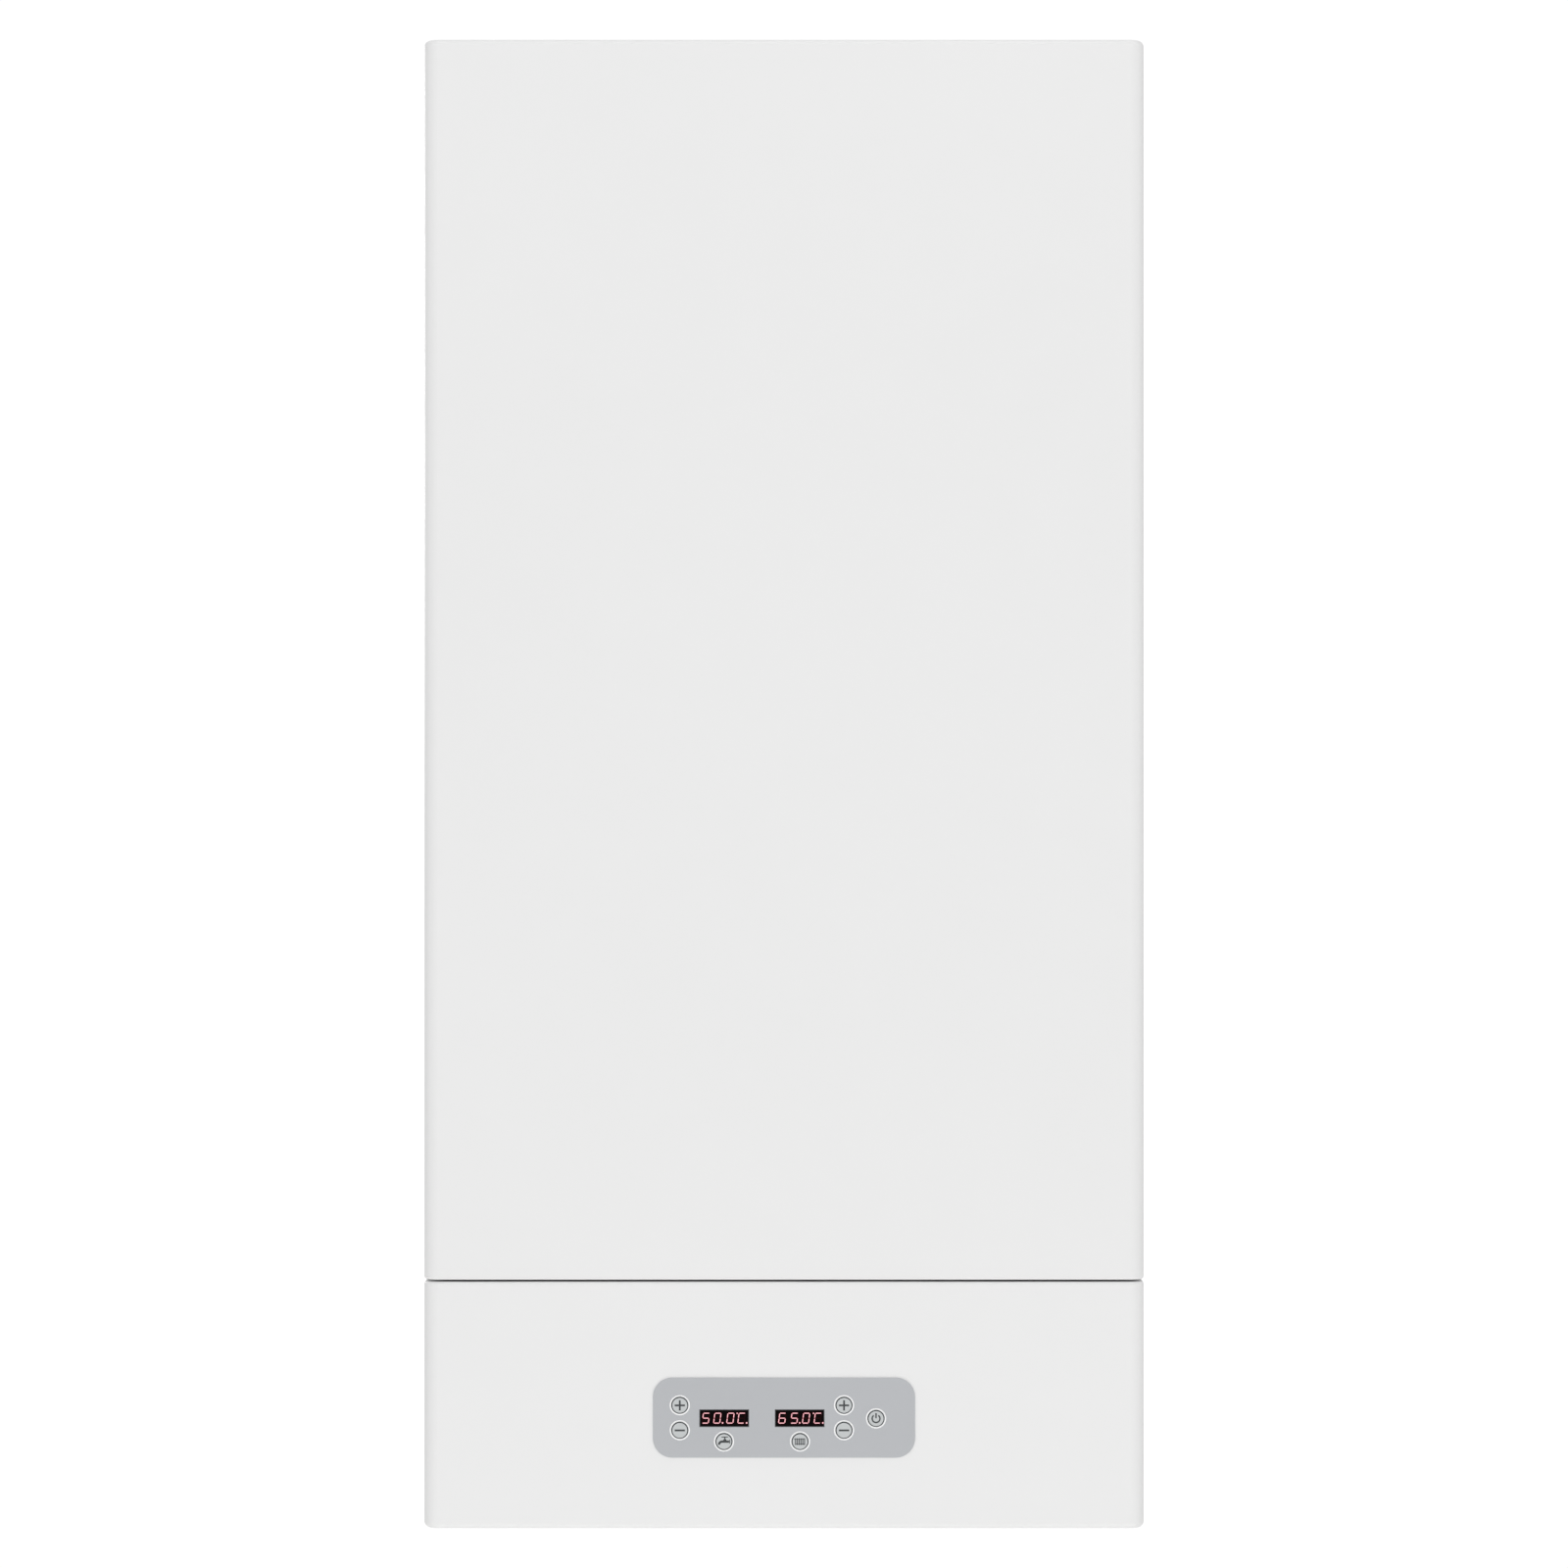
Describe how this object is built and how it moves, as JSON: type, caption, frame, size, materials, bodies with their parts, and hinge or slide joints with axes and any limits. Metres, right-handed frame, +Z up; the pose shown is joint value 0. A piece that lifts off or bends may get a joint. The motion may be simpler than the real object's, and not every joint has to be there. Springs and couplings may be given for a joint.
{
  "type": "combi boiler",
  "caption": "Wall-hung electric combi boiler: tall white sheet casing, plain front cover over a tip-down control panel with a keypad and digit displays, full works inside.",
  "frame": {"origin": "middle between the wall bracket's two fixing holes, on the wall plane, 57 mm below the casing's top", "axes": "+X to the right seen from the front, +Y into the wall, +Z up; the front faces -Y"},
  "size_m": [0.41, 0.3213, 0.8666],
  "materials": {
    "white_panel": "satin powder coat",
    "zinc_sheet": "galvanised sheet",
    "zinc_steel": "zinc plated",
    "black_plastic": "moulded",
    "keypad_grey": "satin printed film",
    "display_black": "tinted window",
    "button_grey": "satin",
    "circuit_board": "solder resist",
    "brass": "turned",
    "stainless": "satin",
    "foam_jacket": "closed-cell foam",
    "red_paint": "enamel",
    "rubber": "smooth",
    "cast_iron": "painted casting",
    "motor_grey": "satin",
    "red_plastic": "moulded",
    "white_plastic": "moulded",
    "copper": "drawn copper tube"
  },
  "bodies": {
    "casing": {"air_vent": "brass", "back_frame": "zinc_sheet", "bottom_plate": "zinc_sheet", "cable_glands": "black_plastic", "casing_screws": "zinc_steel", "contactor": "white_plastic", "cover_clips": "black_plastic", "diverter_actuator": "black_plastic", "diverter_body": "brass", "electrics_plate": "zinc_sheet", "expansion_diaphragm": "rubber", "expansion_hose": "rubber", "expansion_vessel": "red_paint", "flange_bolts": "zinc_steel", "flow_sensor": "brass", "heater_flange": "brass", "heater_leads": "rubber", "heating_elements": "stainless", "heating_vessel": "stainless", "insulation_jacket": "foam_jacket", "left_side_panel": "white_panel", "main_board": "circuit_board", "overheat_thermostat": "black_plastic", "panel_hinges": "zinc_steel", "pipe_stubs": "brass", "plate_exchanger": "stainless", "primary_pipes": "copper", "pump_motor": "motor_grey", "pump_volute": "cast_iron", "right_side_panel": "white_panel", "safety_valve": "brass", "stub_locknuts": "brass", "terminal_block": "white_plastic", "top_panel": "white_panel", "vessel_shelf": "zinc_sheet", "wall_bracket": "zinc_sheet", "water_pipes": "copper"},
    "control_panel": {"control_panel": "white_panel", "hinge_pins": "zinc_steel", "keypad_overlay": "keypad_grey", "led_displays": "display_black", "display_board": "circuit_board", "board_housing": "black_plastic", "housing_screws": "zinc_steel"},
    "front_cover": {"front_cover": "white_panel"},
    "button_dhw_plus": {"button_dhw_plus": "button_grey"},
    "button_dhw_minus": {"button_dhw_minus": "button_grey"},
    "button_dhw_mode": {"button_dhw_mode": "button_grey"},
    "button_heating_mode": {"button_heating_mode": "button_grey"},
    "button_heating_plus": {"button_heating_plus": "button_grey"},
    "button_heating_minus": {"button_heating_minus": "button_grey"},
    "button_power": {"button_power": "button_grey"},
    "contactor_armature": {"contactor_armature": "black_plastic"},
    "thermostat_reset": {"thermostat_reset": "red_plastic"},
    "air_vent_cap": {"air_vent_cap": "black_plastic"},
    "pump_rotor": {"pump_rotor": "stainless"},
    "pump_speed_knob": {"pump_speed_knob": "red_plastic"},
    "diverter_spindle": {"diverter_spindle": "stainless"},
    "safety_knob": {"safety_knob": "red_plastic"},
    "flow_turbine": {"flow_turbine": "white_plastic"}
  },
  "joints": [
    {"name": "front_cover_pull", "type": "slide", "parent": "casing", "child": "front_cover", "axis": [0, -1, 0], "range_m": [0, 0.3]},
    {"name": "control_panel_tilt", "type": "hinge", "parent": "casing", "child": "control_panel", "pos_m": [0, -0.29, -0.7865], "axis": [1, 0, 0], "range_deg": [0, 90]},
    {"name": "button_dhw_plus_press", "type": "slide", "parent": "control_panel", "child": "button_dhw_plus", "axis": [0, 1, 0], "range_m": [0, 0.00065], "stiffness_N_per_m": 1500},
    {"name": "button_dhw_minus_press", "type": "slide", "parent": "control_panel", "child": "button_dhw_minus", "axis": [0, 1, 0], "range_m": [0, 0.00065], "stiffness_N_per_m": 1500},
    {"name": "button_dhw_mode_press", "type": "slide", "parent": "control_panel", "child": "button_dhw_mode", "axis": [0, 1, 0], "range_m": [0, 0.00065], "stiffness_N_per_m": 1500},
    {"name": "button_heating_mode_press", "type": "slide", "parent": "control_panel", "child": "button_heating_mode", "axis": [0, 1, 0], "range_m": [0, 0.00065], "stiffness_N_per_m": 1500},
    {"name": "button_heating_plus_press", "type": "slide", "parent": "control_panel", "child": "button_heating_plus", "axis": [0, 1, 0], "range_m": [0, 0.00065], "stiffness_N_per_m": 1500},
    {"name": "button_heating_minus_press", "type": "slide", "parent": "control_panel", "child": "button_heating_minus", "axis": [0, 1, 0], "range_m": [0, 0.00065], "stiffness_N_per_m": 1500},
    {"name": "button_power_press", "type": "slide", "parent": "control_panel", "child": "button_power", "axis": [0, 1, 0], "range_m": [0, 0.00065], "stiffness_N_per_m": 1500},
    {"name": "contactor_pull_in", "type": "slide", "parent": "casing", "child": "contactor_armature", "axis": [0, 1, 0], "range_m": [0, 0.005], "stiffness_N_per_m": 400},
    {"name": "thermostat_reset_press", "type": "slide", "parent": "casing", "child": "thermostat_reset", "axis": [0, 1, 0], "range_m": [0, 0.002], "stiffness_N_per_m": 800},
    {"name": "air_vent_cap_turn", "type": "hinge", "parent": "casing", "child": "air_vent_cap", "pos_m": [0.1155, -0.25643, 0.039], "axis": [0, 0, 1], "range_deg": [0, 270]},
    {"name": "pump_rotor_spin", "type": "hinge", "parent": "casing", "child": "pump_rotor", "pos_m": [0.13, -0.17, -0.54], "axis": [0, 1, 0], "continuous": true},
    {"name": "pump_speed_turn", "type": "hinge", "parent": "casing", "child": "pump_speed_knob", "pos_m": [0.13, -0.25, -0.55], "axis": [0, 1, 0], "range_deg": [-135, 135]},
    {"name": "diverter_shift", "type": "slide", "parent": "casing", "child": "diverter_spindle", "axis": [0, 1, 0], "range_m": [0, 0.008]},
    {"name": "safety_knob_turn", "type": "hinge", "parent": "casing", "child": "safety_knob", "pos_m": [0, -0.17, -0.528], "axis": [0, 1, 0], "range_deg": [0, 90]},
    {"name": "flow_turbine_spin", "type": "hinge", "parent": "casing", "child": "flow_turbine", "pos_m": [0.065, -0.115, -0.725], "axis": [0, 0, 1], "continuous": true}
  ]
}
